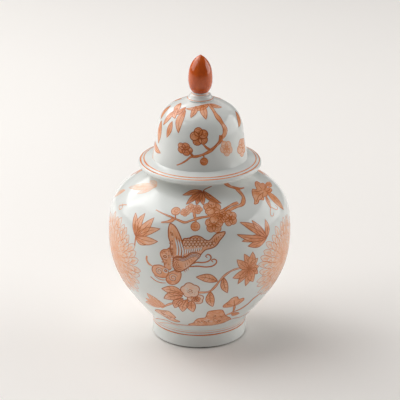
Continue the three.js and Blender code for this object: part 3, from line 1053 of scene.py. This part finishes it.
def shoulder_sprays(paint):
    """Leaves that hang over the shoulder on both sides of the plum branch."""
    figure(paint, [(46.2, 151.6), (49, 154.6), (51.4, 159.6), (55, 163.4), (58.6, 164.6), (62, 162.6),
            (66, 166), (71, 168), (75.6, 167), (76, 163.6), (79.6, 162), (79.4, 158.6), (76, 157), (80, 155),
            (78.6, 152.6), (73, 152.6), (69, 154), (65, 152.6), (61, 153.6), (57.6, 151.4), (54, 153.4),
            (50, 151.2)], (0.5, 0.64), width=0.7, edge=0.85)
    for way in ([(66, 157), (57, 156.6), (48.4, 152.4)], [(67, 159), (60, 160.6), (56, 163)],
                [(68, 160), (70, 164), (72, 166.6)], [(70, 158), (75, 158.6), (78.6, 161)],
                [(69, 156), (74, 154.6), (79, 154.6)], [(64, 156.6), (58, 153.6), (54, 153.4)]):
        stem(paint, way, 0.6, 0.9)
    paint.rise()
    leaves(paint, [((70, 156), (72.6, 133.6), 9), ((78, 159), (92, 155.6), 5), ((64, 153), (58, 142), 3.4)],
            tone=(0.66, 0.42), edge=0.8)
    stem(paint, [(59, 144), (60.6, 141), (64, 138), (66, 139.6), (64.6, 142)], 0.7, 0.6)
    stem(paint, [(59, 143), (56, 140), (54.6, 136.6), (57, 135.6), (58.4, 137.6)], 0.7, 0.6)
    # The leaves on the left shoulder are painted pale: painted highlight where the key light's glare lies on
    # them.
    leaves(paint, [((-50, 170), (-80, 154), 8), ((-50, 170.6), (-66, 172), 5), ((-52, 168), (-62, 156), 5.6),
            ((-80, 150), (-88, 137), 5.4)], tone=(0.26, 0.1), edge=0.38, line=0.4)
    stem(paint, [(-62, 143), (-66, 141), (-69.6, 138), (-67, 136), (-64.8, 138.6), (-67.4, 141.6)], 0.7, 0.5)


def flank(paint):
    """The strip between the front and back scenes, unseen in the photo: bamboo over a small plum twig."""
    branch(paint, [(-9, 96), (-3, 101), (3, 108), (8, 118)], (2.4, 1.0))
    branch(paint, [(-3, 101), (4, 101), (10, 98)], (1.8, 0.8))
    for degrees, s, size in ((-2, 109, 6), (7, 104, 5), (6, 118, 5.4)):
        blossom(paint, paint.spot(degrees, s, turn=s), size)
    berry(paint, paint.spot(11, 97), 2.8)
    spray(paint, (0, 168), [(-12, 158), (-5, 150), (4, 150), (12, 159)], 6, tone=(0.7, 0.5), veins=0)
    spray(paint, (0, 62), [(-10, 74), (-2, 80), (7, 77), (11, 66), (-12, 62)], 6.4, tone=(0.6, 0.45))
    stem(paint, [(0, 62), (1, 50), (-2, 38), (0, 27)], 1.2)
    stem(paint, [(-14, 28), (-4, 26.4), (6, 27.4), (15, 26)], 0.9)


# ------------------------------------------------------------------ painting the lid
def lid_scene(paint, sides):
    """A plum branch that falls from the crown and curls to the left, with leaves hanging beside it."""
    branch(paint, [(33, 76), (31.4, 69), (31, 62), (34, 54.6), (37, 48), (34.6, 43.6), (29.4, 41)],
            (4.6, 3.2), (0.55, 0.6))
    branch(paint, [(29, 43.4), (27, 38.6), (22, 35.6), (14, 31.6), (5, 28.6), (-5, 26.6), (-11, 26.2),
            (-17, 22.6), (-23, 19.6), (-29, 17.4)], (3.4, 0.8), (0.85, 0.65))
    branch(paint, [(13.6, 32), (8.6, 34), (3, 38)], (1.8, 1.2), (0.85, 0.8))
    branch(paint, [(-8.6, 26.8), (-12, 29), (-14, 30.6)], (1.6, 1.2), (0.85, 0.8))
    stem(paint, [(4.6, 28), (4.8, 25)], 1.2, 0.9)
    blossom(paint, paint.spot(-1, 43.6, turn=14), 7.4, tone=(0.8, 0.6), heart=0.95, edge=1.0, line=0.7)
    blossom(paint, paint.spot(-19.8, 32.3, turn=-20, squeeze=1.32), 5.1, tone=(0.76, 0.56), edge=1.0)
    berry(paint, paint.spot(5, 22.4), 3.2, tone=(0.75, 0.85))
    blossom(paint, paint.spot(36, 31.4, turn=30, squeeze=0.82), 6.8, tone=(0.34, 0.2), heart=0.45, edge=0.58)
    stem(paint, [(29, 40), (31.6, 37)], 1.4, 0.7)
    if sides:
        blossom(paint, paint.spot(67.6, 26.6, turn=20, squeeze=1.15), 7.2, tone=(0.5, 0.3), edge=0.72)
        stem(paint, [(-88, 25.4), (-85, 18), (-78, 13.6), (-70, 9.6)], 1.5, 0.6)
    hanging = [((36, 75.4), (60, 67.4), 4.6), ((30, 75.6), (-37, 68.4), 5.4), ((10, 74.6), (9.8, 58.4), 5.4),
            ((-14, 73), (-16.4, 59.6), 4.6), ((-34, 66.4), (-30.6, 44.8), 6.4), ((-46.6, 53), (-49, 38.4), 5),
            ((-72, 71.6), (-47, 61.4), 5.6), ((-58, 62), (-62, 47), 5), ((-60, 66), (-44, 56), 5),
            ((-40, 70), (-58, 55), 4.6), ((-88, 63), (-77, 49.4), 6.2), ((-72, 49), (-68, 29.4), 7),
            ((-88, 27), (-58.4, 22.8), 5), ((84.4, 56.4), (65.4, 44.8), 6)]
    for k, (base, tip, width) in enumerate(hanging):
        if sides or abs(base[0]) < 75:
            leaf(paint, base, tip, width, sway=0.05 * (-1) ** k, tone=(0.7, 0.5), edge=0.88, veins=0)
            paint.rise()
    stem(paint, [(-40, 69), (-36, 66), (-33, 63)], 1.0, 0.7)


# ------------------------------------------------------------------ the painted pieces
def painted(name, body, paint, draw, *details):
    """Draws on a painting and makes it the named piece."""
    draw(paint, *details)
    paint.make(name, body)


MOTIFS = {"plum": plum, "bamboo": side_bamboo, "peony": peony, "rocks": ground, "butterfly": butterfly}
for side, centre, flip in (("front", 0, 1), ("back", 180, -1)):
    for motif, draw in MOTIFS.items():
        painted(f"{side}_{motif}", "jar", Painting(BODY, centre, flip), draw)
painted("front_shoulder", "jar", Painting(BODY), shoulder_sprays)
painted("chrysanthemum_left", "jar", Painting(BODY), chrysanthemum, -67, 95, 36, 4)
painted("chrysanthemum_right", "jar", Painting(BODY), chrysanthemum, 67, 92, 36, 5)
painted("flank_right", "jar", Painting(BODY, 116), flank)
painted("flank_left", "jar", Painting(BODY, -116), flank)
BRIM_RUN = 13.4         # the lid's heights count from this far out on the brim
painted("lid_front_plum", "lid", Painting(DOME, start=BRIM_RUN), lid_scene, True)
painted("lid_back_plum", "lid", Painting(DOME, 180, -1, BRIM_RUN), lid_scene, False)
FOOT_LINES = [(12.6, 1.15, 0.82), (15.2, 0.6, 0.72), (17.6, 0.4, 0.4)]
BRIM_LINES = [(BRIM.where_radius(50.9), 1.15, 0.74), (BRIM.where_radius(48.1), 1.1, 0.70)]
COLLAR_LINES = [(0.9, 0.6, 0.75), (SKIRT.distance[-1] - 0.6, 0.6, 0.5)]
painted("foot_lines", "jar", Painting(BODY), bands, FOOT_LINES, 0.12)
painted("brim_lines", "lid", Painting(BRIM), bands, BRIM_LINES, 0.05)
painted("collar_lines", "lid", Painting(SKIRT), bands, COLLAR_LINES, 0.04)


# ------------------------------------------------------------------ stage, light and camera
def stage():
    recipe = Recipe("floor")
    tone = recipe.between(recipe.noise(recipe.where, 1.2, 2), (0.885, 0.86, 0.835), (0.90, 0.875, 0.85))
    recipe.link(tone, recipe.shader["Base Color"])
    recipe.shader["Roughness"].default_value = 0.6
    mesh = bpy.data.meshes.new("floor")
    half = 6.0
    corners = [(-half, -half, 0), (half, -half, 0), (half, half, 0), (-half, half, 0)]
    mesh.from_pydata(corners, [], [(0, 1, 2, 3)])
    floor = bpy.data.objects.new("floor", mesh)
    mesh.materials.append(recipe.material)
    bpy.context.scene.collection.objects.link(floor)


def soft_light(name, around, up, size, power, colour=(1, 0.99, 0.975), away=1.7):
    """A softbox aimed at the jar: degrees round from the camera side, degrees above the floor."""
    target = Vector((0, 0, 0.12))
    around, up = math.radians(around), math.radians(up)
    way = Vector((math.cos(up) * math.sin(around), -math.cos(up) * math.cos(around), math.sin(up)))
    place = target + away * way
    data = bpy.data.lights.new(name, "AREA")
    data.shape = "RECTANGLE"
    data.size, data.size_y = size
    data.energy = power
    data.color = colour
    light = bpy.data.objects.new(name, data)
    light.location = place
    light.rotation_euler = (target - place).to_track_quat("-Z", "Y").to_euler()
    bpy.context.scene.collection.objects.link(light)


def world(colour, strength):
    scene = bpy.context.scene
    scene.world = bpy.data.worlds.new("studio")
    scene.world.use_nodes = True
    background = scene.world.node_tree.nodes["Background"]
    background.inputs["Color"].default_value = (*colour, 1)
    background.inputs["Strength"].default_value = strength


def camera():
    pitch = math.radians(21.62)
    roll = math.radians(0.29)
    data = bpy.data.cameras.new("camera")
    data.lens = 180
    data.sensor_width = 36
    view = bpy.data.objects.new("camera", data)
    view.matrix_world = (Matrix.Translation((0.0002, -1.6074, 0.7595))
                         @ Matrix.Rotation(math.pi / 2 - pitch, 4, "X") @ Matrix.Rotation(roll, 4, "Z"))
    bpy.context.scene.collection.objects.link(view)
    bpy.context.scene.camera = view


stage()
soft_light("left", 264, 33, (2.1, 2.0), 27.5, away=2.1)
soft_light("high_left", 295, 55, (1.3, 1.2), 2)
soft_light("key", 225, 35, (0.95, 0.85), 7.3)
soft_light("top", 232, 70, (1.4, 1.4), 10.5)
soft_light("right", 101, 18, (1.7, 1.2), 16, (1, 0.985, 0.965))
soft_light("back", 172, 36, (1.4, 1.2), 3)
world((1.0, 0.99, 0.975), 0.07)
camera()
bpy.context.scene.view_settings.view_transform = "Standard"
